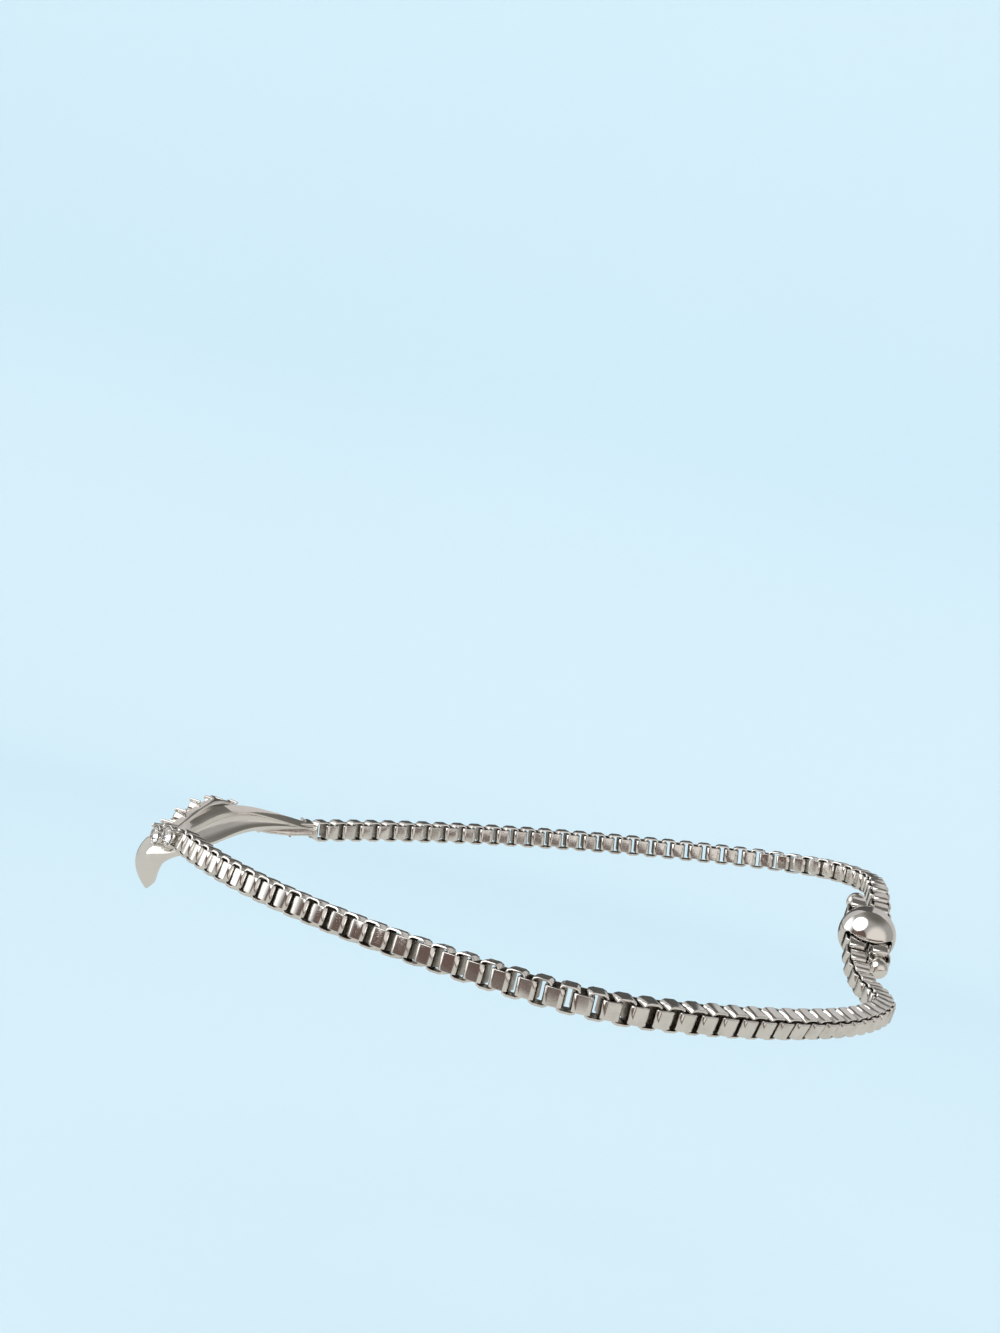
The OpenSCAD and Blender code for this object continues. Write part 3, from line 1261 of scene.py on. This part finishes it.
@dataclass(frozen=True)
class Studio:
    """Pale sweep, soft light, the room that the metal reflects, and the camera.

    A glow's numbers are its bearing, height, core and edge.
    """

    floor_gap: float = 40 * MM
    sweep_front: float = -0.45
    sweep_back: float = 0.30
    sweep_radius: float = 0.16
    sweep_width: float = 1.6
    sweep_steps: int = 24
    wall_height: float = 0.9
    room: Colour = (0.36, 0.35, 0.335)
    beyond: Colour = (0.687, 0.887, 1.0)
    fill: Colour = (0.92, 0.897, 0.862)
    glows: tuple[SoftGlow, ...] = (
        SoftGlow(120, 75, 15, 45, (0.15, 0.145, 0.13)),
        SoftGlow(-108, 8, 14, 36, (1.40, 1.40, 1.37)),
        SoftGlow(32, 0, 30, 52, (0.76, 0.715, 0.67)),
        SoftGlow(-41, -8, 29, 36, (0.140, 0.097, 0.083)),
        SoftGlow(-55, 39, 25, 31, (2.0, 2.0, 1.97)),
    )
    lamp_at: Place = (0.0, -0.60, 1.10)
    lamp_aim: Place = (0.0, 0.35, 0.05)
    lamp_size: Span = (1.2, 0.9)
    lamp_power: float = 3.0

    def sweep(self, height: float) -> Piece:
        """Makes the floor that curves up into the wall behind.

        Args:
            height: Height of the floor.

        Returns:
            The sweep.
        """
        work = Workpiece()
        bm = work.bm
        start = bmesh.ops.create_vert(bm, co=(-self.sweep_width / 2, self.sweep_back, height))
        turned = bmesh.ops.spin(
            bm, geom=start["vert"], axis=Vector((1, 0, 0)), angle=pi / 2, steps=self.sweep_steps,
            cent=Vector((0, self.sweep_back, height + self.sweep_radius)), use_merge=False)
        for verts, move in ((start["vert"], Vector((0, self.sweep_front - self.sweep_back, 0))),
                            (verts_in(turned["geom_last"]), Vector((0, 0, self.wall_height)))):
            grown = bmesh.ops.extrude_vert_indiv(bm, verts=verts)["verts"]
            bmesh.ops.translate(bm, verts=grown, vec=move)
        wide = bmesh.ops.extrude_edge_only(bm, edges=bm.edges[:])["geom"]
        bmesh.ops.translate(bm, vec=Vector((self.sweep_width, 0, 0)), verts=verts_in(wide))
        work.face_outwards()
        return work.dress("sweep", (PAPER_FINISH,), smooth=True)

    def lamp(self) -> Piece:
        """Hangs the soft light over the paper, where the metal doesn't mirror it.

        Returns:
            The light.
        """
        light = bpy.data.lights.new("paper_box", "AREA")
        light.shape = "ELLIPSE"
        light.size, light.size_y = self.lamp_size
        light.energy = self.lamp_power
        made = show("paper_box", light)
        made.visible_camera = made.visible_glossy = False
        aim = Vector(self.lamp_aim) - Vector(self.lamp_at)
        made.matrix_world = (Matrix.Translation(self.lamp_at)
                             @ aim.to_track_quat("-Z", "Y").to_matrix().to_4x4())
        return made

    def surroundings(self) -> None:
        """Sets the soft grey room, with its glows in reflections alone."""
        world = bpy.data.worlds.new("studio_room")
        write = NodeWriter(world)
        way = write.add("ShaderNodeTexCoord").outputs["Generated"]
        tone = self.room
        for glow in self.glows:
            tone = glow.paint(write, way, tone)
        path = write.add("ShaderNodeLightPath").outputs
        tone = write.blend(path["Is Camera Ray"], tone, self.beyond)
        tone = write.blend(path["Is Diffuse Ray"], tone, self.fill)
        back = write.add("ShaderNodeBackground", {"Color": tone, "Strength": 1.0})
        write.add("ShaderNodeOutputWorld", {"Surface": back.outputs[0]})
        bpy.context.scene.world = world

    def build(self) -> None:
        """Sets up the studio around the bracelet."""
        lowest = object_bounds()[0][2]
        self.sweep(lowest - self.floor_gap)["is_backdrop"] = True
        self.lamp()
        self.surroundings()
        PhotoCamera().build()
        bpy.context.scene.view_settings.view_transform = "Standard"


def main() -> None:
    logging.basicConfig(level=logging.INFO, format="%(name)s: %(message)s")
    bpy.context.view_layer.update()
    layout = LoopLayout()
    Studio().build()
    parts: list[SubAssembly] = [
        ChainStrand("near_strand", "near_chain", layout.near, 1, layout.near_last - 1),
        ChainStrand("far_strand", "far_chain", layout.far, 1, layout.far_last - 1),
        SliderBall(layout),
        Stopper("near_stop", "near_stopper", layout, layout.near_stop, layout.near,
                layout.near_last, -1),
        Stopper("far_stop", "far_stopper", layout, layout.far_stop, layout.far, 0, 1),
        FrontPiece(layout),
    ]
    pieces = [piece for part in parts for piece in part.build()]
    LOG.info("%d pieces", len(pieces))


if __name__ == "__main__":
    main()
